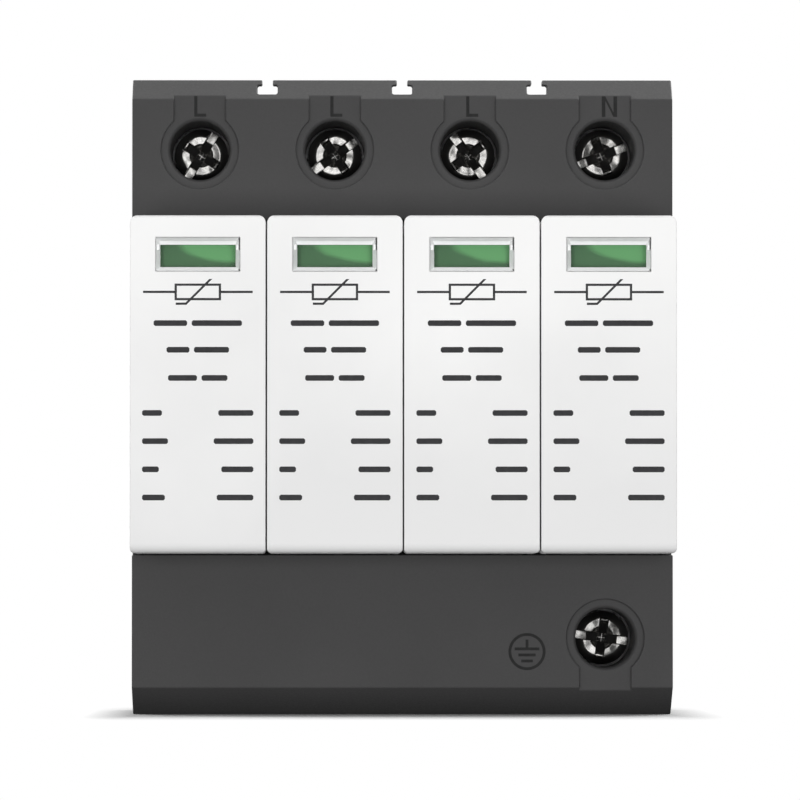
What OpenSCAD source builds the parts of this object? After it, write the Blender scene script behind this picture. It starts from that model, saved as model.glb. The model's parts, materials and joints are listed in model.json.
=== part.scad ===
// Plug-in surge arrester for a 35 mm mounting rail.
// A moulded base holds the terminals and the rail clip, and one varistor module plugs in over each pole.
// The origin is the middle of the rail seat. X runs along the rail, +Z is up and the front faces -Y.
// Depth is counted forward from the rail seat, so a point at depth u has y = -u.

/* [Pole row] */
// Number of poles side by side
poles = 4; // [2:1:4]
// Width of one pole along the rail
pole_pitch = 18; // [17.5:0.25:20]
// Free gap between neighbouring module caps
cap_gap = 0.2; // [0.1:0.05:0.4]

/* [Outline seen from the side] */
// Depth of the module fronts
front_d = 58; // [57:0.5:66]
// Depth of the shoulder faces around the terminal holes
shoulder_d = 44; // [42:0.5:50]
// Depth of the tray floor that the modules plug down to
floor_d = 15; // [14:0.5:17]
// Depth of the joint between the terminal covers and the frame
seam_d = 7; // [6:0.25:8]
// Height of the opening that the modules plug into
opening_h = 44.9; // [44:0.1:48]
// From the opening's top edge up to the line screws
line_screw_rise = 9.15; // [9:0.05:11]
// From the opening's bottom edge down to the earth screw
earth_screw_drop = 10.95; // [9:0.05:12]
// From the line screws up to the top edge
top_margin = 9.6; // [8:0.1:12]
// From the earth screw down to the bottom edge
bottom_margin = 10.2; // [8:0.1:13]
// Height of the bevel along the top edge
top_bevel_h = 2.8; // [2:0.1:4]
// Depth of the bevel along the top edge
top_bevel_d = 4; // [2:0.25:8]
// Height of the bevel along the bottom edge
bottom_bevel_h = 3.6; // [1:0.1:5]
// Depth of the bevel along the bottom edge
bottom_bevel_d = 7; // [1:0.25:10]

/* [Base walls] */
// Thickness of the tray's side walls, and half of a wall between two poles
side_wall = 1.25; // [1:0.05:1.5]
// Thickness of the tray's upper and lower walls
end_wall = 1.15; // [0.8:0.05:1.6]
// Thickness of the covers' front plates beside the modules
front_plate = 3.8; // [2:0.1:5]
// Thickness of the tray floor over the contact pockets
floor_skin = 1.5; // [1:0.1:2]

/* [Rail and legs] */
// Width of the mounting rail
rail_w = 35; // [34.5:0.1:36]
// Thickness of the rail's flanges
rail_t = 1; // [0.8:0.1:1.5]
// How far the hook and the clip reach over a flange
hook_reach = 1.3; // [0.8:0.1:2]
// How far the legs stand behind the rail seat
leg_d = 5.5; // [5:0.25:7]
// Height of the slant at the back of each leg
leg_taper_h = 5; // [1:0.25:8]
// Depth of the slant at the back of each leg
leg_taper_d = 4; // [1:0.25:6]

/* [Edge slots] */
// Width of a slot's neck
slot_neck_w = 1.4; // [1:0.1:1.9]
// Height of a slot's neck
slot_neck_h = 0.7; // [0.5:0.05:1.2]
// Width of a slot's wide part
slot_foot_w = 2.7; // [2:0.1:4]
// Height of a slot's wide part
slot_foot_h = 1.4; // [0.6:0.05:1.5]
// Corner radius of a slot's wide part
slot_r = 0.3; // [0.1:0.05:0.3]
// Thickness of the lip that a slot is cut through
slot_lip = 2.5; // [1.5:0.25:4]

/* [Terminals] */
// Radius of a screw hole
hole_r = 3.95; // [3.9:0.05:4.2]
// Radius of the hole's flared rim
rim_r = 4.3; // [4.2:0.05:4.6]
// Depth of the flare
rim_d = 0.6; // [0.4:0.1:2]
// Depth of the recess around a hole
recess_d = 0.7; // [0.3:0.1:1.2]
// Radius of the recess around a hole
recess_r = 5.2; // [4.7:0.05:6.5]
// Width of the strip that runs from the recess to the edge
recess_strip_w = 6.9; // [4:0.1:9]
// Radius of a screw head
head_r = 3.6; // [3.2:0.05:3.7]
// Height of a screw head
head_h = 3; // [2.6:0.1:4]
// Radius of the rounded rim of a screw head
head_edge_r = 1.15; // [0.5:0.05:1.5]
// Width of the slot and of the cross recess in a screw head
driver_w = 1.15; // [0.8:0.05:1.4]
// Radius of a screw's shank
shank_r = 2.5; // [2:0.1:2.6]
// Travel of a cage from open to clamped
cage_travel = 6; // [4:0.25:6.5]
// Outer width of a cage
cage_w = 11; // [10.4:0.1:11.2]
// Thickness of a cage's side walls
cage_side = 1.5; // [1.2:0.1:1.6]
// Length of a cage along the wire
cage_l = 9; // [7:0.25:9.5]
// Thickness of a cage's floor
cage_floor = 2.4; // [1.5:0.1:2.6]
// Thickness of a cage's threaded top
cage_top = 2.5; // [1.5:0.1:3]
// Height of the space for the wire
wire_h = 7.8; // [7:0.1:8.5]
// Width of the wire's way in
wire_w = 8; // [6:0.1:9]

/* [Contacts] */
// Width of the contact strips and of the module's blades
strip_w = 7.4; // [5:0.1:7.6]
// Thickness of the contact strips
strip_t = 1.2; // [0.8:0.05:1.4]
// Thickness of the clamp bars under the screws
bar_t = 1.5; // [1:0.1:2]
// Thickness of the module's blades
blade_t = 1.2; // [0.8:0.05:1.5]

/* [Module shell] */
// Thickness of the shell's side walls
shell_side = 1.4; // [1:0.05:1.6]
// Thickness of the shell's upper and lower walls
shell_end = 1.6; // [1.2:0.05:2]
// Thickness of the shell's front
shell_front = 1.6; // [1.2:0.05:2]
// Thickness of the module's back
back_t = 1.7; // [1.2:0.1:2]
// Radius of the cap's upper corners, seen from the front
cap_top_r = 1; // [0.4:0.1:2]
// Radius of the cap's lower corners, seen from the front
cap_bottom_r = 0.6; // [0.3:0.1:2]
// Radius of the cap's upper front edge
cap_edge_top_r = 0.6; // [0.3:0.1:1.2]
// Radius of the cap's lower front edge
cap_edge_bottom_r = 1.3; // [0.5:0.1:1.5]
// Number of finger grooves above and below the cap
groove_count = 3; // [1:1:4]
// Radius of a finger groove
groove_r = 0.8; // [0.5:0.05:1]
// Distance between finger grooves
groove_pitch = 2.6; // [2.2:0.1:3]

/* [Status window] */
// Width of the window
window_w = 11.1; // [9:0.1:12]
// Height of the window
window_h = 4.5; // [3.6:0.1:5]
// From the module's top edge down to the window's middle
window_drop = 5.15; // [4.8:0.05:6]
// Width of the slope at the window's upper edge
slope_top = 0.9; // [0.4:0.05:1]
// Width of the slopes at the window's other edges
slope = 0.55; // [0.3:0.05:0.8]
// Gap beside the window's free edge
window_gap = 0.2; // [0.1:0.05:0.3]
// Depth of the window's pane behind the front
pane_depth = 1.1; // [0.5:0.05:1.2]

/* [Trip mechanism] */
// Travel of the status flag when it trips
flag_travel = 5.2; // [5:0.1:6]
// Thickness of the flag and of the plate behind it
flag_t = 0.9; // [0.6:0.05:1.2]
// Mean radius of the trip spring
trip_spring_r = 1.5; // [1:0.1:1.7]
// Wire thickness of the trip spring
trip_wire = 0.35; // [0.25:0.05:0.5]
// Turns of the trip spring
trip_turns = 5; // [3:1:7]
// Gap between the varistor and the strips above and below it
varistor_gap = 1.65; // [1:0.05:3]
// Thickness of the pad that joins the line strip to the varistor
pad_t = 1.8; // [1:0.1:4]
// Thickness of the varistor
varistor_t = 10.8; // [10:0.1:11.6]
// Corner radius of the varistor
varistor_r = 3; // [1:0.25:6]

/* [Rail clip] */
// Width of the clip
clip_w = 14.2; // [10:0.2:16]
// Travel of the clip when it is pulled off the rail
clip_travel = 4; // [3:0.25:4.5]
// Mean radius of the clip's spring
clip_spring_r = 1.2; // [0.9:0.05:1.25]
// Wire thickness of the clip's spring
clip_wire = 0.45; // [0.3:0.05:0.5]
// Turns of the clip's spring
clip_turns = 5; // [3:1:6]

/* [Hidden] */
$fn = 48;

// Clearances
play = 0.3;
seat_play = 0.05;
rail_play = 0.25;
seam_gap = 0.15;
past = 1;

// Colours
graphite = [0.26, 0.26, 0.27];
white = [0.93, 0.93, 0.93];
clear = [0.85, 0.9, 0.88, 0.5];
green = [0.33, 0.6, 0.36];
red = [0.75, 0.12, 0.1];
steel = [0.75, 0.75, 0.74];
copper = [0.78, 0.5, 0.34];
tin = [0.8, 0.8, 0.78];
zinc_oxide = [0.14, 0.2, 0.36];

// Widths of the base and of a tray cell
base_w = poles * pole_pitch;
base_x = [-base_w / 2, base_w / 2];
cell_w = pole_pitch - 2 * side_wall;
function pole_x(p) = (p - (poles + 1) / 2) * pole_pitch;

// Heights, counted away from the rail's middle
opening_z = opening_h / 2;
wall_z = opening_z + end_wall;
cover_z = wall_z + seam_gap;
line_z = opening_z + line_screw_rise;
earth_z = opening_z + earth_screw_drop;
top_z = line_z + top_margin;
bottom_z = earth_z + bottom_margin;
notch_z = rail_w / 2 + rail_play;
hook_z = rail_w / 2 - hook_reach;
seat_z = hook_z - play;
seat_relief = 0.3;

// Catches of the terminal covers
catch_w = 5;
catch_t = 1.2;
catch_reach = 4.6;
barb_t = 0.5;
barb_h = 1;

// Terminal stack, from the seam forward
cage_rear = seam_d + play;
wire_d = cage_rear + cage_floor;
bar_d = wire_d + wire_h;
tip_d = bar_d + bar_t + seat_play;
cage_top_d = bar_d + bar_t + play;
head_d = cage_top_d + cage_top + cage_travel + play;
chamber_d = head_d + play / 2;
chamber_w = cage_w + 2 * play;
chamber_gap = 0.8;

// Tray and module
tray_d = shoulder_d - front_plate - 2 * seam_gap;
module_d = floor_d + play;
cap_d = tray_d + play;
cap_w = pole_pitch - cap_gap;
body_w = cell_w - 2 * play;
module_z = opening_z - rail_play;
cavity_w = body_w - 2 * shell_side;
cap_cavity_w = cap_w - 2 * shell_side;
cavity_z = module_z - shell_end;
cavity_front = front_d - shell_front;
back_front = module_d + back_t;

// Contacts, with heights counted away from the rail's middle
blade_inset = 0.75;
blade_z = cavity_z - blade_inset - blade_t / 2;
fork_half = blade_t / 2 + seat_play;
web_d = seam_d + seat_play;
fork_tip_d = floor_d - floor_skin - play;
blade_tip_d = web_d + strip_t + play;
riser_gap = 1;
riser_z = cover_z + riser_gap;
bar_reach = 3.6;
pocket_w = strip_w + 3 * play;

// Trip mechanism, from the front backward
window_z = module_z - window_drop;
flange_t = 0.55;
flange_edge = 0.7;
flange_front = cavity_front - seat_play;
flag_front = flange_front - flange_t - play;
flag_rear = flag_front - flag_t;
flag_lap = 0.2;
flag_low = window_z - window_h / 2 - flag_lap;
flag_high = window_z + window_h / 2 + flag_lap;
backing_front = flag_rear - 2 * play;
backing_rear = backing_front - flag_t;
foot_low = 1;
foot_t = 1.5;
stem_w = 5;
rib_t = 1.2;
rib_front = flag_rear - play;
rib_rear = rib_front - 2 * trip_spring_r - 4 * play;
rib_low = foot_low + foot_t + 1.25 * flag_travel;
stop_high = foot_low - flag_travel - seat_play;
trip_spring_d = (rib_front + rib_rear) / 2;
foot_past = 0.5;
foot_rear = rib_rear - foot_past;
solder_t = 0.2;
tongue_t = 1;
tongue_d = foot_rear - solder_t - tongue_t;
tongue_low_z = -1;

// Varistor, between the cradle, the blades and the tongue's pad
cradle_h = 1.5;
varistor_d = back_front + cradle_h + seat_play;
varistor_front = tongue_d - pad_t - seat_play;
varistor_l = varistor_front - varistor_d;
varistor_h = 2 * (blade_z - blade_t / 2 - varistor_gap);

// Rail clip
clip_play = 0.2;
guide_w = clip_w + 2 * clip_play;
ledge_t = 0.9;
ledge_w = 1.4;
clip_rail_gap = 0.6;
clip_front = rail_t + clip_rail_gap;
clip_rear = leg_d - ledge_t - clip_play;
clip_low = bottom_z - clip_play;
clip_spring_d = (clip_front + clip_rear) / 2;
lug_w = 2.8;
lug_t = 1.75;
tool_slot_h = 2;
tool_margin = 3.8;
tool_slot_z = clip_low - tool_margin;
clip_web = 2.1;
lug_z = tool_slot_z - tool_slot_h - clip_web - 2 * play - lug_t;
clip_spring_l = clip_travel + 2 * clip_turns * clip_wire;
clip_window_w = 4;
clip_window_z = [lug_z - clip_spring_l, lug_z + lug_t + 2 * play];

// Screw slots as they were left after tightening, anticlockwise from level
line_turns = [58, 35, -54, 21];
earth_turn = -8;

// A box between two widths, two depths and two heights
module block(x, u, z) {
    translate([x[0], -u[1], z[0]])
        cube([x[1] - x[0], u[1] - u[0], z[1] - z[0]]);
}

// A box of a given width, centred on x
module bar(x, w, u, z) {
    block([x - w / 2, x + w / 2], u, z);
}

// An outline in depth and height, extruded along the rail
module from_side(x, w) {
    translate([x, 0, 0])
        rotate([90, 0, -90])
            linear_extrude(w, center = true)
                children();
}

// An outline in width and height, extruded forward between two depths
module from_front(u) {
    translate([0, -u[0], 0])
        rotate([90, 0, 0])
            linear_extrude(u[1] - u[0])
                children();
}

// A round hole or pin along the depth
module round(x, z, r, u) {
    translate([x, -u[0], z])
        rotate([90, 0, 0])
            cylinder(r = r, h = u[1] - u[0]);
}

// A rectangle whose corners have their own radii, from low left anticlockwise
module rounded_square(low, high, radii) {
    corners = [low, [high[0], low[1]], high, [low[0], high[1]]];
    inward = [[1, 1], [-1, 1], [-1, -1], [1, -1]];
    difference() {
        translate(low)
            square(high - low);
        for (i = [for (k = [0 : 3]) if (radii[k] > 0) k])
            difference() {
                translate(corners[i])
                    square(2 * radii[i], center = true);
                translate(corners[i] + radii[i] * inward[i])
                    circle(radii[i]);
            }
    }
}

// Outline of a funnel along one axis, through rectangles of [low corner, high corner] at rising heights
function funnel_side(rects, heights, axis) = concat(
    [for (i = [0 : len(rects) - 1]) [rects[i][1][axis], heights[i]]],
    [for (i = [len(rects) - 1 : -1 : 0]) [rects[i][0][axis], heights[i]]]
);

// A four-sided funnel that widens upward through rectangles at rising heights
module funnel(rects, heights) {
    widest = rects[len(rects) - 1];
    reach = 2 * max(widest[1] - widest[0]);
    intersection() {
        rotate([90, 0, 0])
            linear_extrude(reach, center = true)
                polygon(funnel_side(rects, heights, 0));
        rotate([90, 0, 90])
            linear_extrude(reach, center = true)
                polygon(funnel_side(rects, heights, 1));
    }
}

// Points of a coil that climbs from z = 0, with flat ends
function ring(centre, r, angle, wire, sides) = [
    for (s = [0 : sides - 1])
        let (a = 360 * s / sides, reach = r + wire / 2 * cos(a))
        centre + [reach * cos(angle), reach * sin(angle), wire / 2 * sin(a)]
];

// A coil spring of a given length, standing on z = 0
module coil(r, wire, turns, length) {
    sides = 6;
    steps = 12 * turns;
    rise = (length - wire) / steps;
    points = [
        for (i = [0 : steps])
            each ring([0, 0, wire / 2 + rise * i], r, 360 * turns * i / steps, wire, sides)
    ];
    skin = [
        for (i = [0 : steps - 1], s = [0 : sides - 1])
            let (a = i * sides + s, b = i * sides + (s + 1) % sides)
            each [[a, a + sides, b], [b, a + sides, b + sides]]
    ];
    ends = [
        [for (s = [0 : sides - 1]) s],
        [for (s = [sides - 1 : -1 : 0]) steps * sides + s]
    ];
    polyhedron(points, concat(skin, ends));
}

// The T-shaped slots in the top edge, each cut through a lip with an open channel behind it
module edge_slots() {
    neck_z = top_z - slot_neck_h;
    foot_z = neck_z - slot_foot_h;
    lip_d = shoulder_d - top_bevel_d - slot_lip;
    channel_w = 2 * slot_foot_w;
    for (p = [1 : poles - 1]) {
        x = pole_x(p) + pole_pitch / 2;
        bar(x, slot_neck_w, [lip_d, shoulder_d], [neck_z - slot_foot_h / 2, top_z + past]);
        from_front([lip_d, shoulder_d])
            rounded_square(
                [x - slot_foot_w / 2, foot_z],
                [x + slot_foot_w / 2, neck_z],
                [slot_r, slot_r, slot_r, slot_r]
            );
        bar(x, channel_w, [-leg_d - past, lip_d], [foot_z, top_z + past]);
    }
}

// Pockets for the forks under the tray floor, with slots for the blades
module contact_pockets() {
    fork_low = blade_z - fork_half - strip_t - play;
    for (p = [1 : poles]) {
        bar(pole_x(p), pocket_w, [seam_d, floor_d - floor_skin], [fork_low, wall_z + past]);
        bar(pole_x(p), pocket_w, [seam_d, floor_d + past], [blade_z - blade_t, blade_z + blade_t]);
    }
}

// The channel for the earth busbar, across the poles
module busbar_channel() {
    reach = base_w / 2 - pole_pitch / 2 + pocket_w / 2;
    block(
        [-reach, reach],
        [seam_d - past, web_d + strip_t + play],
        [blade_z + fork_half, riser_z + strip_t + play]
    );
}

// The guide that the rail clip slides in, open to the back, the rail and the bottom
module clip_guide() {
    run = [-bottom_z - past, -notch_z + past];
    bar(0, guide_w, [-(leg_d - ledge_t), -(clip_front - clip_play)], run);
    bar(0, guide_w - 2 * ledge_w, [-(leg_d + past), -clip_front], run);
}

// Outline of the leg with the fixed hook
module upper_leg() {
    flange_d = rail_t + rail_play;
    ramp = hook_reach;
    polygon([
        [seam_d, hook_z],
        [0, hook_z],
        [0, notch_z],
        [-flange_d, notch_z],
        [-flange_d, hook_z],
        [-(leg_d - ramp), hook_z],
        [-leg_d, hook_z + ramp],
        [-leg_d, top_z - leg_taper_h],
        [-(leg_d - leg_taper_d), top_z],
        [seam_d, top_z]
    ]);
}

// Outline of the leg that holds the rail clip
module lower_leg() {
    polygon([
        [seam_d, -hook_z],
        [0, -hook_z],
        [0, -notch_z],
        [-leg_d, -notch_z],
        [-leg_d, -(bottom_z - leg_taper_h)],
        [-(leg_d - leg_taper_d), -bottom_z],
        [seam_d, -bottom_z]
    ]);
}

// Frame of the base: rail seat, legs and the tray that the modules plug into
module base_frame() {
    core_w = pole_pitch - 4 * side_wall;
    core_d = seam_d + floor_d / 4;
    core_z = 3 / 4 * rail_w / 2;
    color(graphite) {
        difference() {
            union() {
                block(base_x, [0, floor_d], [-wall_z, wall_z]);
                from_side(0, base_w)
                    upper_leg();
                from_side(0, base_w)
                    lower_leg();
                for (side = [-1, 1])
                    block(base_x, [floor_d - past, tray_d], [
                        min(side * opening_z, side * wall_z),
                        max(side * opening_z, side * wall_z)
                    ]);
                for (p = [0 : poles])
                    intersection() {
                        block(base_x, [floor_d - past, tray_d], [-wall_z, wall_z]);
                        bar(pole_x(p) + pole_pitch / 2, 2 * side_wall, [0, tray_d], [-wall_z, wall_z]);
                    }
            }
            contact_pockets();
            mirror([0, 0, 1]) {
                contact_pockets();
                busbar_channel();
            }
            for (p = [1 : poles])
                bar(pole_x(p), core_w, [-past, core_d], [-core_z, core_z]);
            for (side = [0, 1])
                mirror([0, 0, side])
                    bar(0, base_w + past, [-rail_t, seat_relief], [seat_z, notch_z]);
            clip_guide();
            edge_slots();
            cover_catches(top_z, play / 2);
            mirror([0, 0, 1])
                cover_catches(bottom_z, play / 2);
        }
        bar(0, lug_w, [-clip_rear, -(clip_front - clip_play)], [-lug_z - lug_t, -lug_z]);
    }
}

// Outline of a terminal cover, with heights counted away from the rail's middle
module cover_outline(edge_z, bevel_h, bevel_d) {
    plate_d = shoulder_d - front_plate;
    plate_z = module_z + seam_gap;
    rear_d = seam_d + seat_play;
    polygon([
        [rear_d, cover_z],
        [plate_d, cover_z],
        [plate_d, plate_z],
        [shoulder_d, plate_z],
        [shoulder_d, edge_z - bevel_h],
        [shoulder_d - bevel_d, edge_z],
        [rear_d, edge_z]
    ]);
}

// Recess, screw hole and wire entry of one terminal
module terminal_openings(x, screw_z, edge_z) {
    recess_floor = shoulder_d - recess_d;
    mouth = 1;
    entry = [[-wire_w / 2, 0], [wire_w / 2, wire_h]];
    wide_entry = [entry[0] - [mouth, mouth], entry[1] + [mouth, mouth]];
    from_front([recess_floor, shoulder_d + past]) {
        translate([x, screw_z])
            circle(recess_r);
        translate([x - recess_strip_w / 2, screw_z])
            square([recess_strip_w, edge_z + past - screw_z]);
    }
    round(x, screw_z, hole_r, [chamber_d - past, shoulder_d]);
    translate([x, -(recess_floor - rim_d), screw_z])
        rotate([90, 0, 0])
            cylinder(r1 = hole_r, r2 = rim_r, h = rim_d);
    bar(x, wire_w, [wire_d, bar_d], [screw_z, edge_z + past]);
    translate([x, -wire_d, edge_z - mouth])
        mirror([0, 1, 0])
            funnel([entry, wide_entry, wide_entry], [0, mouth, mouth + past]);
}

// Catches at both ends of a cover, each a tongue with a barb, or with growth the pockets for them
module cover_catches(edge_z, growth) {
    catch_z = (notch_z + edge_z - leg_taper_h) / 2;
    span = [catch_z - catch_w / 2 - growth, catch_z + catch_w / 2 + growth];
    low_d = seam_d - catch_reach - growth;
    tongue_x = base_w / 2 - catch_t - growth;
    for (side = [0, 1])
        mirror([side, 0, 0]) {
            block([tongue_x, base_w / 2 + growth], [low_d, seam_d + past], span);
            block([tongue_x - barb_t, base_w / 2 + growth], [low_d, low_d + barb_h + 2 * growth], span);
        }
}

// A cover over one row of terminals, with a chamber at each pole and openings at the poles that are fitted
module terminal_cover(screw_z, edge_z, bevel_h, bevel_d, fitted) {
    difference() {
        from_side(0, base_w)
            cover_outline(edge_z, bevel_h, bevel_d);
        for (p = [1 : poles])
            bar(
                pole_x(p),
                chamber_w,
                [seam_d - past, chamber_d],
                [cover_z - past, screw_z + cage_l / 2 + chamber_gap]
            );
        for (p = fitted)
            terminal_openings(pole_x(p), screw_z, edge_z);
    }
    cover_catches(edge_z, 0);
}

// Cover over the line terminals
module upper_terminal_cover() {
    color(graphite)
        difference() {
            terminal_cover(line_z, top_z, top_bevel_h, top_bevel_d, [1 : poles]);
            edge_slots();
        }
}

// Cover over the earth terminal
module lower_terminal_cover() {
    color(graphite)
        mirror([0, 0, 1])
            difference() {
                terminal_cover(earth_z, bottom_z, bottom_bevel_h, bottom_bevel_d, [poles]);
                busbar_channel();
            }
}

// Cage that rises towards the clamp bar and takes the wire
module terminal_cage(x, screw_z) {
    span = [screw_z - cage_l / 2, screw_z + cage_l / 2];
    color(tin)
        difference() {
            bar(x, cage_w, [cage_rear, cage_top_d + cage_top], span);
            bar(
                x,
                cage_w - 2 * cage_side,
                [wire_d, cage_top_d],
                [span[0] - past, span[1] + past]
            );
            round(x, screw_z, shank_r + seat_play, [cage_top_d - past, cage_top_d + cage_top + past]);
        }
}

// Outline along the screw of the cross recess: small ledges, steep ends and a floor that falls to the middle
module cross_outline(top) {
    reach = 0.62 * head_r;
    foot = 0.9 * reach;
    depth = 0.8 * head_h;
    fall = 0.4 * foot;
    ledge_w = reach / 8;
    ledge_d = depth / 10;
    polygon([
        [0, top - depth],
        [foot, top - depth + fall],
        [reach, top - ledge_d],
        [reach + ledge_w, top - ledge_d],
        [reach + ledge_w, top + past],
        [-reach - ledge_w, top + past],
        [-reach - ledge_w, top - ledge_d],
        [-reach, top - ledge_d],
        [-foot, top - depth + fall]
    ]);
}

// Screw with a combination head: a slot across a cross recess with a round pit
module terminal_screw(x, screw_z, turn) {
    tip_edge = 0.35;
    length = head_d + head_h - tip_d;
    head_low = length - head_h;
    pit_r = 0.43 * head_r;
    pit_h = 0.6 * head_h;
    color(steel)
        translate([x, -tip_d, screw_z])
            rotate([90, 0, 0])
                rotate([0, 0, turn])
                    difference() {
                        union() {
                            rotate_extrude()
                                polygon([
                                    [0, 0],
                                    [shank_r - tip_edge, 0],
                                    [shank_r, tip_edge],
                                    [shank_r, length - head_h / 2],
                                    [0, length - head_h / 2]
                                ]);
                            rotate_extrude()
                                rounded_square([0, head_low], [head_r, length], [0, 0, head_edge_r, 0]);
                        }
                        translate([-head_r - past, -driver_w / 2, length - head_h / 2])
                            cube([2 * (head_r + past), driver_w, head_h]);
                        rotate_extrude()
                            polygon([
                                [0, length - pit_h],
                                [pit_r / 2, length - pit_h],
                                [pit_r, length],
                                [pit_r, length + past],
                                [0, length + past]
                            ]);
                        for (a = [0, 90])
                            rotate([90, 0, a])
                                linear_extrude(driver_w, center = true)
                                    cross_outline(length);
                    }
}

// Fork under the tray floor that grips a module's blade
module fork_outline() {
    low = blade_z - fork_half - strip_t;
    high = blade_z + fork_half + strip_t;
    web_front = web_d + strip_t;
    polygon([
        [web_d, low],
        [fork_tip_d, low],
        [fork_tip_d, blade_z - fork_half],
        [web_front, blade_z - fork_half],
        [web_front, blade_z + fork_half],
        [fork_tip_d, blade_z + fork_half],
        [fork_tip_d, high],
        [web_front, high],
        [web_front, riser_z + strip_t],
        [web_d, riser_z + strip_t]
    ]);
}

// Strip that rises from the fork and bends over into the clamp bar
module riser_outline(screw_z) {
    polygon([
        [web_d, riser_z],
        [bar_d + bar_t, riser_z],
        [bar_d + bar_t, screw_z + bar_reach],
        [bar_d, screw_z + bar_reach],
        [bar_d, riser_z + strip_t],
        [web_d, riser_z + strip_t]
    ]);
}

// Bent contact from a line terminal to its module
module line_contact(p) {
    color(copper)
        from_side(pole_x(p), strip_w) {
            fork_outline();
            riser_outline(line_z);
        }
}

// Busbar that joins the earth blades of all the modules to the earth terminal
module earth_busbar() {
    color(copper)
        mirror([0, 0, 1]) {
            for (p = [1 : poles])
                from_side(pole_x(p), strip_w)
                    fork_outline();
            from_side(pole_x(poles), strip_w)
                riser_outline(earth_z);
            block(
                [pole_x(1) - strip_w / 2, pole_x(poles) + strip_w / 2],
                [web_d, web_d + strip_t],
                [blade_z + fork_half + strip_t, riser_z + strip_t]
            );
        }
}

// Sliding foot that catches the rail's lower flange
module rail_clip() {
    ramp = 1.7;
    tool_slot_w = 5;
    color(graphite)
        difference() {
            from_side(0, clip_w)
                polygon([
                    [-clip_front, -clip_low],
                    [-clip_front, -hook_z],
                    [-(clip_rear - ramp), -hook_z],
                    [-clip_rear, -hook_z - ramp],
                    [-clip_rear, -clip_low]
                ]);
            bar(
                0,
                clip_window_w,
                [-clip_rear - past, -clip_front + past],
                [-clip_window_z[1], -clip_window_z[0]]
            );
            bar(
                0,
                tool_slot_w,
                [-clip_rear - past, -clip_front + past],
                [-tool_slot_z, -tool_slot_z + tool_slot_h]
            );
        }
}

// Spring that pushes the clip up against the rail
module rail_clip_spring() {
    color(steel)
        translate([0, clip_spring_d, -lug_z + seat_play])
            coil(clip_spring_r, clip_wire, clip_turns, clip_spring_l - 2 * seat_play);
}

// White shell of a plug-in module, with a wide cap over the tray walls
module module_cover(p) {
    x = pole_x(p);
    groove_z = module_z + groove_r / 3;
    groove_first = (shoulder_d + front_d - (groove_count - 1) * groove_pitch) / 2;
    color(white)
        difference() {
            intersection() {
                from_side(x, cap_w)
                    rounded_square(
                        [module_d, -module_z],
                        [front_d, module_z],
                        [0, cap_edge_bottom_r, cap_edge_top_r, 0]
                    );
                union() {
                    from_front([cap_d, front_d])
                        rounded_square(
                            [x - cap_w / 2, -module_z],
                            [x + cap_w / 2, module_z],
                            [cap_bottom_r, cap_bottom_r, cap_top_r, cap_top_r]
                        );
                    bar(x, body_w, [module_d, cap_d + past], [-module_z, module_z]);
                }
            }
            bar(x, cavity_w, [module_d - past, cavity_front], [-cavity_z, cavity_z]);
            bar(x, cap_cavity_w, [cap_d + shell_side, cavity_front], [-cavity_z, cavity_z]);
            bar(
                x,
                window_w,
                [cavity_front - past, front_d + past],
                [window_z - window_h / 2, window_z + window_h / 2]
            );
            for (i = [0 : groove_count - 1], side = [-1, 1])
                translate([x, -(groove_first + i * groove_pitch), side * groove_z])
                    rotate([0, 90, 0])
                        cylinder(r = groove_r, h = cap_w + past, center = true);
        }
    color(white)
        for (z = [rib_low, stop_high - rib_t])
            bar(x, cap_cavity_w + past, [rib_rear, rib_front], [z, z + rib_t]);
}

// Back of a module, with slots for the blades and a cradle for the varistor
module module_back(p) {
    x = pole_x(p);
    cradle_z = varistor_h / 3;
    cradle_w = 0.9 * varistor_t;
    cradle_half = 1;
    color(white) {
        difference() {
            bar(
                x,
                cavity_w - 2 * seat_play,
                [module_d, back_front],
                [-cavity_z + seat_play, cavity_z - seat_play]
            );
            for (side = [-1, 1])
                bar(
                    x,
                    strip_w + 2 * seat_play,
                    [module_d - past, back_front + past],
                    [
                        side * blade_z - blade_t / 2 - seat_play,
                        side * blade_z + blade_t / 2 + seat_play
                    ]
                );
        }
        for (side = [-1, 1])
            bar(
                x,
                cradle_w,
                [back_front - seat_play, back_front + cradle_h],
                [side * cradle_z - cradle_half, side * cradle_z + cradle_half]
            );
    }
}

// Clear window with sloped edges, a tab across its free gap, raised upper corners and a flange
module window(p) {
    x = pole_x(p);
    half_w = window_w / 2 - seat_play;
    half_h = window_h / 2 - seat_play;
    pane_d = front_d - pane_depth;
    step_d = pane_depth / 4;
    step = slope * (1 - step_d / pane_depth);
    near = [[-half_w + slope, -half_h + slope], [half_w - slope, half_h - slope_top]];
    middle = [[-half_w + step, -half_h + step], [half_w - step, half_h - slope_top / 2]];
    far = [[-half_w, -half_h], [half_w, half_h]];
    tab_z = [window_z - half_h + slope / 2, window_z + window_h / 8];
    corner_x = [half_w - 0.8 * slope, window_w / 2 - window_gap];
    corner_z = [tab_z[1], window_z + half_h - slope_top];
    body_d = [flange_front - flange_t, front_d];
    color(clear) {
        difference() {
            union() {
                block(
                    [x - half_w, x + window_w / 2 - window_gap],
                    body_d,
                    [window_z - half_h, window_z + half_h]
                );
                block([x, x + half_w], body_d, tab_z);
                bar(
                    x,
                    2 * (half_w + flange_edge),
                    [flange_front - flange_t, flange_front],
                    [window_z - half_h - flange_edge, window_z + half_h + flange_edge]
                );
            }
            translate([x, -pane_d, window_z])
                rotate([90, 0, 0])
                    funnel([near, middle, far, far], [0, step_d, pane_depth, pane_depth + past]);
        }
        for (side = [0, 1])
            translate([x, 0, 0])
                mirror([side, 0, 0])
                    block(corner_x, [pane_d - step_d, front_d - step_d], corner_z);
    }
}

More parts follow.
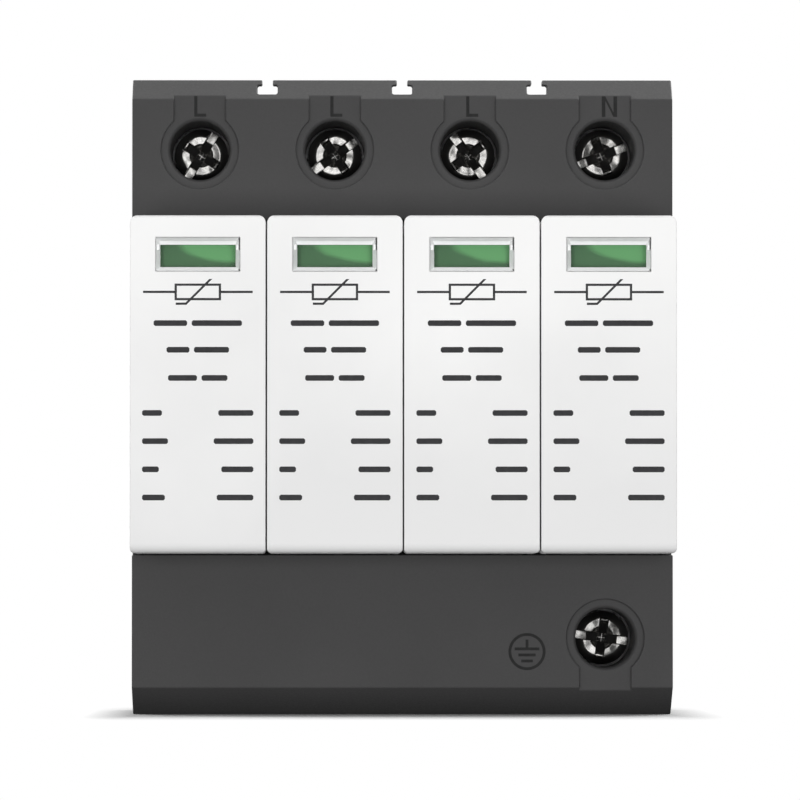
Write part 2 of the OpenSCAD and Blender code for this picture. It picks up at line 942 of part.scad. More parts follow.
// Green flag on a sprung stem, whose foot is soldered to the tongue
module trip_flag(p) {
    x = pole_x(p);
    color(green) {
        bar(x, window_w, [flag_rear, flag_front], [flag_low, flag_high]);
        bar(x, stem_w, [flag_rear, flag_front], [foot_low, flag_low + flag_t]);
        bar(x, stem_w, [foot_rear, flag_front], [foot_low, foot_low + foot_t]);
    }
}

// Red plate that shows once the flag has dropped
module flag_backing(p) {
    color(red)
        bar(
            pole_x(p),
            cap_cavity_w - 2 * play,
            [backing_rear, backing_front],
            [rib_low + rib_t + seat_play, cavity_z - seat_play]
        );
}

// Spring that drives the flag down when the solder lets go
module trip_spring(p) {
    foot_top = foot_low + foot_t;
    color(steel)
        translate([pole_x(p), -trip_spring_d, foot_top + seat_play])
            coil(trip_spring_r, trip_wire, trip_turns, rib_low - foot_top - 2 * seat_play);
}

// Coated varistor block
module varistor(p) {
    color(zinc_oxide)
        from_side(pole_x(p), varistor_t)
            rounded_square(
                [varistor_d, -varistor_h / 2],
                [varistor_front, varistor_h / 2],
                [varistor_r, varistor_r, varistor_r, varistor_r]
            );
}

// Line blade, whose strip runs over the varistor to the soldered tongue
module line_blade(p) {
    low = blade_z - blade_t / 2;
    pad_z = varistor_h / 4;
    color(copper)
        from_side(pole_x(p), strip_w) {
            translate([blade_tip_d, low])
                square([tongue_d + tongue_t - blade_tip_d, blade_t]);
            translate([tongue_d, tongue_low_z])
                square([tongue_t, low + blade_t - tongue_low_z]);
            translate([tongue_d - pad_t, pad_z])
                square([pad_t + tongue_t / 2, pad_z / 2]);
        }
}

// Earth blade, joined to the varistor's lower edge
module earth_blade(p) {
    high = -blade_z + blade_t / 2;
    pad_d = varistor_d + varistor_l / 2;
    pad_l = 6;
    color(copper)
        from_side(pole_x(p), strip_w) {
            translate([blade_tip_d, high - blade_t])
                square([pad_d + pad_l - blade_tip_d, blade_t]);
            translate([pad_d, high - blade_t / 2])
                square([pad_l, blade_t / 2 - high - varistor_h / 2 - seat_play]);
        }
}

base_frame();
upper_terminal_cover();
lower_terminal_cover();
earth_busbar();
terminal_cage(pole_x(poles), -earth_z);  // earth_terminal_cage
terminal_screw(pole_x(poles), -earth_z, earth_turn);  // earth_terminal_screw
rail_clip();
rail_clip_spring();
for (p = [1 : poles]) {
    terminal_cage(pole_x(p), line_z);
    terminal_screw(pole_x(p), line_z, line_turns[p - 1]);
    line_contact(p);
    module_cover(p);
    module_back(p);
    window(p);
    trip_flag(p);
    flag_backing(p);
    trip_spring(p);
    varistor(p);
    line_blade(p);
    earth_blade(p);
}
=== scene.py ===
"""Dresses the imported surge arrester: materials, rounded edges, springs, marks, print, studio and camera."""
import json
import math

import bmesh
import bpy
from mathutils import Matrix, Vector


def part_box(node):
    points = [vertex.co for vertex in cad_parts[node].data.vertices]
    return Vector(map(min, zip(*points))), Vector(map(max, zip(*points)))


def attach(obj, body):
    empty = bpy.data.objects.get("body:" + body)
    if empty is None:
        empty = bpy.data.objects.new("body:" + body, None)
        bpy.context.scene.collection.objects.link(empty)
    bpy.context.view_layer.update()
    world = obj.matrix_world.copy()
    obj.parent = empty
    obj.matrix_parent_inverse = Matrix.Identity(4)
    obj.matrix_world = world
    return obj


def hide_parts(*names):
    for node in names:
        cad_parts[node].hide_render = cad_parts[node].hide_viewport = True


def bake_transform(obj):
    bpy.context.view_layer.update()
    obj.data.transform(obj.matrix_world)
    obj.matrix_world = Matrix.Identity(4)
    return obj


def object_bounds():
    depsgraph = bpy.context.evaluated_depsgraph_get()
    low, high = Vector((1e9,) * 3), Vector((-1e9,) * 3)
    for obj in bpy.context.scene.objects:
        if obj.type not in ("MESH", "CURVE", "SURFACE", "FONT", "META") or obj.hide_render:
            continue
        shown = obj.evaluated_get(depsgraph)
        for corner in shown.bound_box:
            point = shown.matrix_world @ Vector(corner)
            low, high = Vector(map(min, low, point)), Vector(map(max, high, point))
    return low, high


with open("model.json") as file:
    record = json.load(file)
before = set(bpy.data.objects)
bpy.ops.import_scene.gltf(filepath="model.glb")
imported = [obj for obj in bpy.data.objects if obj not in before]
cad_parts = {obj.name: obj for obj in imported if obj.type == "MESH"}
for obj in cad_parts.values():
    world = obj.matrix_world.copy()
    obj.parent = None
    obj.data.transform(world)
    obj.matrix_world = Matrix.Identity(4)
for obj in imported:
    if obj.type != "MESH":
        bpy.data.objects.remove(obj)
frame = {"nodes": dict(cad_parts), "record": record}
cad_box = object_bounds()
nodes = frame["nodes"]

# Places in the part, in millimetres. A depth (_D) counts forward from the rail seat.
MM = 0.001
POLES = (1, 2, 3, 4)
*LINE_POLES, NEUTRAL_POLE = POLES
PITCH = 18.0
SHOULDER_D = 44.0
RECESS_D = 43.3
FRONT_D = 58.0
PANE_D = 56.9
MODULE_HALF_H = 22.2
WINDOW_Z = 17.05


def pole_x(p):
    """Middle of a pole along the rail, in millimetres."""
    return (p - (len(POLES) + 1) / 2) * PITCH


def point(x, depth, z):
    """A point in metres from millimetres."""
    return Vector((x, -depth, z)) * MM


def new_object(name, data):
    """Puts a mesh, lamp or camera in the scene."""
    obj = bpy.data.objects.new(name, data)
    bpy.context.collection.objects.link(obj)
    return obj


# Node helpers


def fill(tree, node, inputs):
    """Sets a node's inputs, each from another node's output or from a constant."""
    for socket, value in inputs.items():
        if isinstance(value, bpy.types.NodeSocket):
            tree.links.new(value, node.inputs[socket])
        else:
            node.inputs[socket].default_value = value


def add(tree, kind, inputs=None, **properties):
    """Adds a shader node with its properties and inputs."""
    node = tree.nodes.new(kind)
    for key, value in properties.items():
        setattr(node, key, value)
    fill(tree, node, inputs or {})
    return node


def maths(tree, operation, *values):
    """The result of a sum with numbers."""
    return add(tree, "ShaderNodeMath", dict(enumerate(values)), operation=operation).outputs["Value"]


def vector_maths(tree, operation, *values, result="Vector"):
    """The result of a sum with vectors."""
    return add(tree, "ShaderNodeVectorMath", dict(enumerate(values)), operation=operation).outputs[result]


def split(tree, vector):
    """The X, Y and Z outputs of a vector."""
    return add(tree, "ShaderNodeSeparateXYZ", {"Vector": vector}).outputs


def remap(tree, value, source, target=(0.0, 1.0)):
    """A value moved from one (low, high) range to another, and held inside it."""
    limits = dict(zip(("From Min", "From Max", "To Min", "To Max"), (*source, *target)))
    return add(tree, "ShaderNodeMapRange", {"Value": value, **limits}).outputs["Result"]


def ramp(tree, source, stops):
    """A colour ramp over (position, colour) stops, where a colour may be one grey value."""
    node = add(tree, "ShaderNodeValToRGB", {"Fac": source})
    band = node.color_ramp
    while len(band.elements) < len(stops):
        band.elements.new(0.5)
    for element, (position, colour) in zip(band.elements, stops):
        element.position = position
        element.color = (*colour, 1) if isinstance(colour, tuple) else (colour, colour, colour, 1)
    return node.outputs["Color"]


def spread(tree, field, low, high):
    """A ramp over the middle of a noise field, from a low to a high colour or grey value."""
    return ramp(tree, field, [(0.3, low), (0.7, high)])


def noise(tree, coords, scale, detail=3.0, roughness=0.5):
    """The value of a noise field."""
    inputs = {"Vector": coords, "Scale": scale, "Detail": detail, "Roughness": roughness}
    return add(tree, "ShaderNodeTexNoise", inputs).outputs["Fac"]


def bumped(tree, height, strength, distance, normal=None):
    """A normal with a relief. The distance is in millimetres."""
    inputs = {"Height": height, "Strength": strength, "Distance": distance * MM}
    if normal:
        inputs["Normal"] = normal
    return add(tree, "ShaderNodeBump", inputs).outputs["Normal"]


def new_material(name):
    """An empty node material: (material, tree, principled shader, object coordinates)."""
    made = bpy.data.materials.new(name)
    made.use_nodes = True
    tree = made.node_tree
    coords = add(tree, "ShaderNodeTexCoord").outputs["Object"]
    return made, tree, tree.nodes["Principled BSDF"], coords


# Materials. Noise scales are in waves for each metre.

# Sockets of a colour Mix node, whose names repeat
MIX_FACTOR, MIX_A, MIX_B, MIX_RESULT = 0, 6, 7, 2

CLOUD_WEIGHT, CLOUD_LIFT = 0.6, 0.2
WEAR_AND_GLINT_SCALE = 420
GRAIN_GLOSS = 0.06
GRAIN_H = 0.04
STAIN_SCALE = 500
DENT_SCALE, DENT_H = 400, 0.24
STREAK_H = 0.02


def moulded(name, dark, light, worn_and_highlight, roughness, grain, relief, cloud=70, painted_shade=0.0, rounding=0.25):
    """A moulded plastic: soft tone changes, a fine grain in the bump and the gloss, and paler edges in broken
    patches, which are wear and also a painted highlight.

    The tone may also go from light at the module's top to dark at its bottom: painted shade, sized by the
    argument after cloud. The rounding, in millimetres, is how far from an edge the paler wear and painted
    highlight reach.
    """
    made, tree, shader, coords = new_material(name)
    # Height term: painted shade, lighter at a module's top and darker at its bottom, on top of a constant lift
    lift_and_painted_shade = remap(
        tree, split(tree, coords)["Z"],
        (-MODULE_HALF_H * MM, MODULE_HALF_H * MM), (CLOUD_LIFT - painted_shade, CLOUD_LIFT + painted_shade),
    )
    patches_and_painted_shade = maths(tree, "MULTIPLY_ADD", noise(tree, coords, cloud, 4), CLOUD_WEIGHT, lift_and_painted_shade)
    rounded = add(tree, "ShaderNodeBevel", {"Radius": rounding * MM}, samples=4).outputs["Normal"]
    flat = add(tree, "ShaderNodeNewGeometry").outputs["Normal"]
    # Paler edges in broken patches: wear, and a painted highlight along edges and shallow creases
    facing = vector_maths(tree, "DOT_PRODUCT", rounded, flat, result="Value")
    edge = ramp(tree, facing, [(0.8, 1.0), (0.985, 0.0)])
    rubbed_and_glints = ramp(tree, noise(tree, coords, WEAR_AND_GLINT_SCALE, 4), [(0.35, 0.15), (0.75, 0.8)])
    colour = add(
        tree, "ShaderNodeMix",
        {
            MIX_FACTOR: maths(tree, "MULTIPLY", edge, rubbed_and_glints),
            MIX_A: spread(tree, patches_and_painted_shade, dark, light),
            MIX_B: (*worn_and_highlight, 1),
        },
        data_type="RGBA",
    )
    grains = noise(tree, coords, grain, 2, 0.6)
    fill(tree, shader, {
        "Base Color": colour.outputs[MIX_RESULT],
        "Roughness": spread(tree, grains, roughness - GRAIN_GLOSS, roughness + GRAIN_GLOSS),
        "Normal": bumped(tree, grains, relief, GRAIN_H, rounded),
    })
    return made


def plated(name, dark, light, roughness, scale, stretch=(1, 1, 1), dents=0.0):
    """A metal with fine drawn or brushed streaks in its gloss, faint stains and, with dents, an uneven face."""
    made, tree, shader, coords = new_material(name)
    drawn = add(tree, "ShaderNodeMapping", {"Vector": coords, "Scale": stretch}).outputs["Vector"]
    streaks = noise(tree, drawn, scale, 4, 0.6)
    uneven = bumped(tree, noise(tree, coords, DENT_SCALE, 1), dents, DENT_H)
    fill(tree, shader, {
        "Base Color": spread(tree, noise(tree, coords, STAIN_SCALE, 5), dark, light),
        "Roughness": ramp(tree, streaks, [(0.25, roughness - 0.05), (0.75, roughness + 0.08)]),
        "Normal": bumped(tree, streaks, 0.05, STREAK_H, uneven),
        "Metallic": 1.0,
    })
    return made


# The window is clear at its pane and behind its rim. The stops go back from RIM_D to RIM_BACK_D.
RIM_D, RIM_BACK_D = PANE_D + 1, PANE_D - 1.5
CLEAR_BANDS = ((0.36, 0.0), (0.38, 1.0), (0.48, 1.0), (0.5, 0.0), (0.68, 0.0), (0.7, 1.0))
CLEAR_ALPHA, RIM_ALPHA = 0.015, 0.96


def clear_window(name):
    """Clear plastic: nearly invisible over the pane, whitish where the sloped edges scatter the light.

    The edge below the pane is shaded as if it faced the front, because clear plastic shines there.
    """
    made, tree, shader, coords = new_material(name)
    normal = add(tree, "ShaderNodeNewGeometry").outputs["Normal"]
    slope = split(tree, normal)
    level = ramp(tree, maths(tree, "ABSOLUTE", slope["Y"]), [(0.93, 0.0), (0.99, 1.0)])
    depth = remap(tree, split(tree, coords)["Y"], (-RIM_D * MM, -RIM_BACK_D * MM))
    clear = maths(tree, "MULTIPLY", level, ramp(tree, depth, CLEAR_BANDS))
    lower_edge = ramp(tree, slope["Z"], [(0.15, 0.0), (0.4, 1.0)])
    turned = vector_maths(tree, "MULTIPLY_ADD", lower_edge, (0, -3, 0), normal)
    haze = noise(tree, coords, 900)
    fill(tree, shader, {
        "Base Color": spread(tree, haze, (0.92, 0.93, 0.93), (0.96, 0.97, 0.97)),
        "Roughness": spread(tree, haze, 0.08, 0.16),
        "Specular IOR Level": 0.2,
        "Alpha": ramp(tree, clear, [(0.0, RIM_ALPHA), (1.0, CLEAR_ALPHA)]),
        "Normal": vector_maths(tree, "NORMALIZE", turned),
    })
    return made


# Middle of the flag's painted light patch, from the middle of the window, and how far it reaches
PAINTED_LIGHT_X, PAINTED_LIGHT_Z = 4.9, 1.9
PAINTED_LIGHT_REACH_X, PAINTED_LIGHT_REACH_Z = 8.8, 3.3
# Flag green lit by the painted light patch, and in painted shade away from it
FLAG_PAINTED_LIT, FLAG_PAINTED_SHADE = (0.112, 0.335, 0.126), (0.05, 0.138, 0.058)


def flag_green(p):
    """Satin green with a painted light patch towards the upper right and painted shade towards the lower left,
    where the flag falls into the module's shade.
    """
    made, tree, shader, coords = new_material(f"flag_green_{p}")
    place = add(
        tree, "ShaderNodeMapping",
        {
            "Vector": coords,
            "Location": point(pole_x(p) + PAINTED_LIGHT_X, 0, WINDOW_Z + PAINTED_LIGHT_Z),
            "Scale": (PAINTED_LIGHT_REACH_X * MM, 1.0, PAINTED_LIGHT_REACH_Z * MM),
        },
        vector_type="TEXTURE",
    )
    # Distance from the painted light patch, with some noise, sets how deep the painted shade is
    away = vector_maths(tree, "LENGTH", place.outputs["Vector"], result="Value")
    uneven = maths(tree, "MULTIPLY_ADD", noise(tree, coords, 260), 0.12, away)
    grains = noise(tree, coords, 3000, 2)
    fill(tree, shader, {
        "Base Color": ramp(tree, uneven, [(0.84, FLAG_PAINTED_LIT), (1.0, FLAG_PAINTED_SHADE)]),
        "Roughness": spread(tree, grains, 0.4, 0.52),
        "Specular IOR Level": 0.25,
        "Normal": bumped(tree, grains, 0.05, 0.03),
    })
    return made


def ink(name, dark, light, roughness):
    """A thin printed or inlaid colour with a slightly uneven coat."""
    made, tree, shader, coords = new_material(name)
    coat = noise(tree, coords, 1500, 4)
    fill(tree, shader, {
        "Base Color": spread(tree, coat, dark, light),
        "Roughness": spread(tree, coat, roughness - 0.05, roughness + 0.05),
    })
    return made


# Each plastic's paler edge colour stands for wear and for a painted highlight
PLASTICS = {
    "base_plastic": dict(
        dark=(0.054, 0.0535, 0.054), light=(0.061, 0.0605, 0.061), worn_and_highlight=(0.15, 0.15, 0.15),
        roughness=0.58, grain=3200, relief=0.22, rounding=0.18,
    ),
    "clip_plastic": dict(
        dark=(0.022, 0.022, 0.023), light=(0.028, 0.028, 0.029), worn_and_highlight=(0.06, 0.06, 0.06),
        roughness=0.5, grain=3200, relief=0.2,
    ),
    # The module white gets painted shade: lighter at its top, darker towards its bottom
    "module_plastic": dict(
        dark=(0.785, 0.785, 0.785), light=(0.93, 0.93, 0.925), worn_and_highlight=(0.94, 0.94, 0.94),
        roughness=0.42, grain=2600, relief=0.08, cloud=30, painted_shade=0.22,
    ),
    "backing_red": dict(
        dark=(0.42, 0.012, 0.01), light=(0.5, 0.018, 0.014), worn_and_highlight=(0.6, 0.05, 0.04),
        roughness=0.5, grain=2600, relief=0.1,
    ),
    "varistor_coating": dict(
        dark=(0.012, 0.028, 0.09), light=(0.018, 0.04, 0.12), worn_and_highlight=(0.05, 0.08, 0.16),
        roughness=0.38, grain=900, relief=0.5,
    ),
}
ALONG_Z = (1, 1, 0.1)
METALS = {
    "screw_steel": dict(
        dark=(0.62, 0.61, 0.59), light=(0.78, 0.77, 0.75), roughness=0.16, scale=5200, dents=1.0
    ),
    "cage_steel": dict(
        dark=(0.50, 0.50, 0.50), light=(0.64, 0.64, 0.65), roughness=0.34, scale=2400, stretch=ALONG_Z
    ),
    "spring_steel": dict(dark=(0.36, 0.36, 0.36), light=(0.48, 0.48, 0.48), roughness=0.3, scale=4000),
    "contact_copper": dict(
        dark=(0.52, 0.24, 0.12), light=(0.68, 0.34, 0.2), roughness=0.3, scale=2400, stretch=ALONG_Z
    ),
}
FINISHES = {
    **{slot: moulded(slot, **look) for slot, look in PLASTICS.items()},
    **{slot: plated(slot, **look) for slot, look in METALS.items()},
    "window_clear": clear_window("window_clear"),
}
GREENS = {f"trip_flag_{p}": flag_green(p) for p in POLES}
MARK_INK = ink("mark_ink", (0.015, 0.015, 0.015), (0.022, 0.022, 0.022), 0.55)
PRINT_INK = ink("print_ink", (0.03, 0.03, 0.032), (0.045, 0.045, 0.047), 0.5)


# CAD solids

# Width of the rounded edges in millimetres, and whether small faces may narrow them
EDGES = {
    "base_plastic": (0.15, False), "clip_plastic": (0.2, True), "module_plastic": (0.12, True),
    "screw_steel": (0.08, False), "cage_steel": (0.12, False),
}
WELD_GAP = 1e-6
FLAT_ANGLE, EDGE_ANGLE = math.radians(0.5), math.radians(28)


def soften_edges(obj, width, narrowed):
    """Rounds the hard edges of a CAD solid with modifiers, which leave its own mesh as it is."""
    weld = obj.modifiers.new("weld", "WELD")
    weld.merge_threshold = WELD_GAP
    planar = obj.modifiers.new("planar", "DECIMATE")
    planar.decimate_type = "DISSOLVE"
    planar.angle_limit = FLAT_ANGLE
    bevel = obj.modifiers.new("edges", "BEVEL")
    bevel.width = width * MM
    bevel.segments = 2
    bevel.limit_method = "ANGLE"
    bevel.angle_limit = EDGE_ANGLE
    bevel.harden_normals = True
    bevel.use_clamp_overlap = narrowed
    normals = obj.modifiers.new("normals", "WEIGHTED_NORMAL")
    normals.keep_sharp = False


for part in frame["record"]["subparts"]:
    node, slot = part["node"], part["material_slot"]
    solid = nodes[node]
    solid.data.materials.clear()
    solid.data.materials.append(GREENS.get(node) or FINISHES[slot])
    if slot in EDGES:
        for face in solid.data.polygons:
            face.use_smooth = True
        soften_edges(solid, *EDGES[slot])


# New pieces


def new_piece(name, shape, finish):
    """Puts a finished bmesh in the scene as a piece."""
    bmesh.ops.recalc_face_normals(shape, faces=shape.faces)
    mesh = bpy.data.meshes.new(name)
    shape.to_mesh(mesh)
    shape.free()
    mesh.materials.append(finish)
    obj = new_object(name, mesh)
    return obj


WIRE_SIDES = 10
TURN_STEPS = 32


def spring(node, radius, wire, turns):
    """A round-wire coil in place of a spring's solid, in millimetres.
    """
    low, high = (Vector(corner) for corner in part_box(node))
    axis = (low + high) / 2
    radius, wire = radius * MM, wire * MM
    steps = TURN_STEPS * turns
    rise = (high.z - low.z - wire) / steps
    shape = bmesh.new()
    rings = []
    for i in range(steps + 1):
        turn = 2 * math.pi * turns * i / steps
        ring = []
        for k in range(WIRE_SIDES):
            a = 2 * math.pi * k / WIRE_SIDES
            reach = radius + wire / 2 * math.cos(a)
            height = low.z + wire / 2 + rise * i + wire / 2 * math.sin(a)
            across = (axis.x + reach * math.cos(turn), axis.y + reach * math.sin(turn))
            ring.append(shape.verts.new((*across, height)))
        rings.append(ring)
    for near, far in zip(rings, rings[1:]):
        for k in range(WIRE_SIDES):
            m = (k + 1) % WIRE_SIDES
            shape.faces.new((near[k], far[k], far[m], near[m])).smooth = True
    shape.faces.new(rings[0])
    shape.faces.new(rings[-1][::-1])
    obj = new_piece(f"{node}_wire", shape, FINISHES["spring_steel"])
    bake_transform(obj)
    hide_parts(node)


spring("rail_clip_spring", 1.2, 0.45, 5)
for p in POLES:
    spring(f"trip_spring_{p}", 1.5, 0.35, 5)


def flat_piece(name, outlines, depth, proud, finish, body):
    """A thin piece on a front face, made of closed outlines of (x, z) points in millimetres."""
    shape = bmesh.new()
    for outline in outlines:
        near = [shape.verts.new(point(x, depth + proud, z)) for x, z in outline]
        far = [shape.verts.new(point(x, depth - proud, z)) for x, z in outline]
        shape.faces.new(near)
        shape.faces.new(far[::-1])
        for i in range(len(outline)):
            k = (i + 1) % len(outline)
            shape.faces.new((near[k], near[i], far[i], far[k]))
    obj = new_piece(name, shape, finish)
    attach(obj, body)


def box_outline(x, z, w, h):
    """A rectangle centred on (x, z)."""
    return [(x - w / 2, z - h / 2), (x + w / 2, z - h / 2), (x + w / 2, z + h / 2), (x - w / 2, z + h / 2)]


def ring_outlines(x, z, r, w, count=48):
    """A circle of line width w, as a row of short four-sided outlines."""
    def at(i, radius):
        a = 2 * math.pi * i / count
        return (x + radius * math.cos(a), z + radius * math.sin(a))

    inner, outer = r - w / 2, r + w / 2
    return [[at(i, inner), at(i, outer), at(i + 1, outer), at(i + 1, inner)] for i in range(count)]


# Terminal marks

MARK_PROUD = 0.012
MARK_Z, MARK_H, MARK_STROKE = 36.08, 2.75, 0.42
LINE_MARK_W, LINE_MARK_SHIFTS = 1.6, (0.05, 0.2, 0.32)
NEUTRAL_LEFT, NEUTRAL_W, NEUTRAL_STROKE = -0.4, 2.05, 1.15 * MARK_STROKE
EARTH_X, EARTH_Z, EARTH_R, EARTH_STROKE = 16.58, -35.2, 2.28, 0.38
# Width, height and middle of the earth sign's stem and bars
EARTH_LINES = (
    (EARTH_STROKE, 1.05, 1.075), (3.3, EARTH_STROKE, 0.36), (2.3, EARTH_STROKE, -0.45),
    (1.55, EARTH_STROKE, -1.25),
)


def letter_l(x, z, w, h, stroke):
    """The line mark, with its lower left corner at (x, z)."""
    return [[
        (x, z), (x + w, z), (x + w, z + stroke), (x + stroke, z + stroke), (x + stroke, z + h), (x, z + h),
    ]]


def letter_n(x, z, w, h, stroke):
    """The neutral mark, with its lower left corner at (x, z)."""
    slant = 1.25 * stroke
    left, right = x + stroke, x + w - stroke
    return [
        [(x, z), (left, z), (left, z + h), (x, z + h)],
        [(right, z), (x + w, z), (x + w, z + h), (right, z + h)],
        [(right, z), (right, z + slant), (left, z + h), (left, z + h - slant)],
    ]


def earth_sign(x, z):
    """The sign of protective earth in a ring, centred on (x, z)."""
    bars = [box_outline(x, z + rise, w, h) for w, h, rise in EARTH_LINES]
    return ring_outlines(x, z, EARTH_R, EARTH_STROKE) + bars


def mark(name, outlines, depth):
    """An inlaid mark on the base."""
    flat_piece(name, outlines, depth, MARK_PROUD, MARK_INK, "base")


for p, shift in zip(LINE_POLES, LINE_MARK_SHIFTS):
    left = pole_x(p) - LINE_MARK_W / 2 + shift
    mark(f"line_mark_{p}", letter_l(left, MARK_Z, LINE_MARK_W, MARK_H, MARK_STROKE), RECESS_D)
left = pole_x(NEUTRAL_POLE) + NEUTRAL_LEFT
mark("neutral_mark", letter_n(left, MARK_Z, NEUTRAL_W, MARK_H, NEUTRAL_STROKE), RECESS_D)
mark("earth_mark", earth_sign(EARTH_X, EARTH_Z), SHOULDER_D)


# Module print

PRINT_PROUD = 0.01
PRINT_HALF_W = 7.3
BAR_H, BAR_GAP = 0.75, 0.6
# Height of each row of bars, and the widths of its two bars
CENTRED_ROWS = ((8.0, (4.4, 6.6)), (4.5, (3.0, 4.6)), (0.8, (3.8, 3.4)))
SPACED_ROWS = ((-3.8, (2.6, 4.6)), (-7.5, (3.4, 5.2)), (-11.2, (2.2, 4.2)), (-14.9, (3.0, 4.8)))
SIGN_Z, SIGN_LINE = 12.1, 0.3
SIGN_HALF_W, SIGN_HALF_H, SIGN_WIRE_END = 2.9, 0.95, 7.2
SLANT_H, SLANT_HALF_W, SLANT_FOOT = 1.7, 0.2, 1.0


def print_bar(left, z, w):
    """A plain bar with clipped corners, from its left end."""
    c = BAR_H / 4
    right, low, high = left + w, z - BAR_H / 2, z + BAR_H / 2
    return [
        (left + c, low), (right - c, low), (right, low + c), (right, high - c),
        (right - c, high), (left + c, high), (left, high - c), (left, low + c),
    ]


def varistor_sign(x, z):
    """The standard sign of a varistor: a box on a line, crossed by a bent slant. No outlines overlap."""
    inner, outer = SIGN_HALF_H - SIGN_LINE / 2, SIGN_HALF_H + SIGN_LINE / 2
    box_end = SIGN_HALF_W + SIGN_LINE / 2
    sign = []
    for side in (-1, 1):
        wire_x = x + side * (box_end + SIGN_WIRE_END) / 2
        sign.append(box_outline(wire_x, z, SIGN_WIRE_END - box_end, SIGN_LINE))
        sign.append(box_outline(x, z + side * SIGN_HALF_H, 2 * box_end, SIGN_LINE))
        sign.append(box_outline(x + side * SIGN_HALF_W, z, SIGN_LINE, 2 * inner))
    for low, high in ((-SLANT_H, -outer), (-inner, inner), (outer, SLANT_H)):
        sign.append([
            (x + low - SLANT_HALF_W, z + low), (x + low + SLANT_HALF_W, z + low),
            (x + high + SLANT_HALF_W, z + high), (x + high - SLANT_HALF_W, z + high),
        ])
    join, low, high = x - SLANT_H - SLANT_HALF_W, z - SLANT_H, z - SLANT_H + SIGN_LINE
    sign.append([(join - SLANT_FOOT, low), (join, low), (join + SIGN_LINE, high), (join - SLANT_FOOT, high)])
    return sign


for p in POLES:
    outlines = varistor_sign(pole_x(p), SIGN_Z)
    for z, (first, second) in CENTRED_ROWS:
        left = pole_x(p) - (first + BAR_GAP + second) / 2
        outlines += [print_bar(left, z, first), print_bar(left + first + BAR_GAP, z, second)]
    for z, (first, second) in SPACED_ROWS:
        outlines.append(print_bar(pole_x(p) - PRINT_HALF_W, z, first))
        outlines.append(print_bar(pole_x(p) + PRINT_HALF_W - second, z, second))
    flat_piece(
        f"module_print_{p}", outlines, FRONT_D, PRINT_PROUD, PRINT_INK, f"module_{p}"
    )


# Studio

# Name, place and (width, height) in metres, watts, and whether gloss shows the lamp
LAMPS = (
    ("left_light", (-0.35, -1.2, -0.1), (0.4, 0.5), 6.6, False),
    ("right_light", (0.35, -1.2, -0.1), (0.4, 0.5), 6.25, False),
    ("top_light", (0, -0.1, 1.2), (0.6, 0.6), 2.2, False),
    ("front_light", (-0.03, -1.3, 0.05), (0.24, 0.34), 0.36, True),
    ("back_right_light", (0.5, 0.9, 0.7), (0.8, 0.8), 10, True),
    ("back_left_light", (-0.8, 0.8, 0.5), (0.6, 0.6), 6, True),
)
FLOOR_GAP = 0.02 * MM
FLOOR_REACH = 0.6
# How far the floor's shadow shows around the part, in metres, and how much faster it fades along X
SHADOW_REACH, SHADOW_RATE = 0.03, (5, 1, 1)


def area_light(name, place, size, power, mirrored):
    """A soft box turned to the object."""
    lamp = bpy.data.lights.new(name, "AREA")
    lamp.shape = "RECTANGLE"
    lamp.size, lamp.size_y = size
    lamp.energy = power
    obj = new_object(name, lamp)
    obj.location = place
    obj.visible_glossy = mirrored
    obj.rotation_euler = (point(0, SHOULDER_D, 0) - obj.location).to_track_quat("-Z", "Y").to_euler()


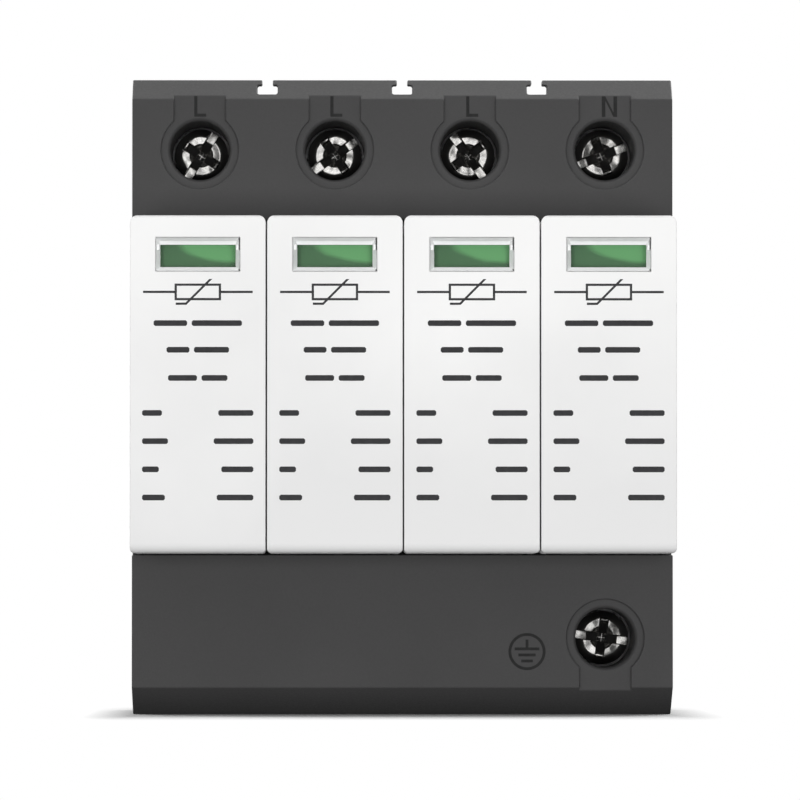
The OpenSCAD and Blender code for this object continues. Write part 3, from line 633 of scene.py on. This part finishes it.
def studio_world():
    """A white surround that is dim in front of the object and below it, and plain white to look at."""
    world = bpy.data.worlds.new("studio")
    bpy.context.scene.world = world
    world.use_nodes = True
    tree = world.node_tree
    toward = split(tree, add(tree, "ShaderNodeTexCoord").outputs["Generated"])
    above = remap(tree, toward["Z"], (-0.15, 0.25), (0.1, 1.0))
    aside = remap(tree, toward["Y"], (-0.95, -0.4), (0.12, 1.0))
    mirrored = maths(tree, "MULTIPLY", above, aside)
    scattered = remap(tree, above, (0.0, 1.0), (0.06, 0.28))
    path = add(tree, "ShaderNodeLightPath").outputs
    sharp = maths(tree, "MAXIMUM", path["Is Glossy Ray"], path["Is Transmission Ray"])
    lit = add(tree, "ShaderNodeMix", {"Factor": sharp, "A": scattered, "B": mirrored}).outputs["Result"]
    shown = add(tree, "ShaderNodeMix", {"Factor": path["Is Camera Ray"], "A": lit, "B": 1.0})
    fill(tree, tree.nodes["Background"], {"Color": (1, 1, 1, 1), "Strength": shown.outputs["Result"]})


def paper():
    """White paper that takes the shadow near the object and fades to plain white away from it."""
    made, tree, shader, coords = new_material("paper")
    fill(tree, shader, {
        "Base Color": spread(tree, noise(tree, coords, 300), 0.91, 0.94),
        "Roughness": 0.9,
        "Specular IOR Level": 0.0,
    })
    inside = vector_maths(tree, "MAXIMUM", coords, cad_box[0])
    nearest = vector_maths(tree, "MINIMUM", inside, cad_box[1])
    beside = vector_maths(tree, "SUBTRACT", coords, nearest)
    scaled = vector_maths(tree, "MULTIPLY", beside, SHADOW_RATE)
    away = vector_maths(tree, "LENGTH", scaled, result="Value")
    white = add(tree, "ShaderNodeEmission", {"Strength": 1.0})
    mix = add(
        tree, "ShaderNodeMixShader",
        {
            "Fac": remap(tree, away, (0.0, SHADOW_REACH)),
            1: shader.outputs["BSDF"],
            2: white.outputs["Emission"],
        },
    )
    fill(tree, tree.nodes["Material Output"], {"Surface": mix.outputs["Shader"]})
    return made


for lamp in LAMPS:
    area_light(*lamp)
studio_world()

floor_z = cad_box[0][2] - FLOOR_GAP
floor_mesh = bpy.data.meshes.new("floor")
floor_mesh.from_pydata(
    [(x * FLOOR_REACH, y * FLOOR_REACH, floor_z) for x, y in ((-1, -1), (1, -1), (1, 1), (-1, 1))],
    [], [(0, 1, 2, 3)],
)
floor_mesh.materials.append(paper())
floor = new_object("floor", floor_mesh)
floor.visible_diffuse = False
floor.visible_glossy = False
floor.visible_transmission = False
floor.visible_shadow = False


# Camera

AIM = point(-0.32, SHOULDER_D, -1.72)
EYE = point(-9.7, SHOULDER_D + 1000, -28.35)
lens = bpy.data.cameras.new("camera")
lens.sensor_width = 36
lens.lens = 338.1
lens.clip_start, lens.clip_end = 0.05, 20
camera = new_object("camera", lens)
camera.location = EYE
camera.rotation_euler = (AIM - EYE).to_track_quat("-Z", "Y").to_euler()
bpy.context.scene.camera = camera
bpy.context.scene.view_settings.view_transform = "Standard"
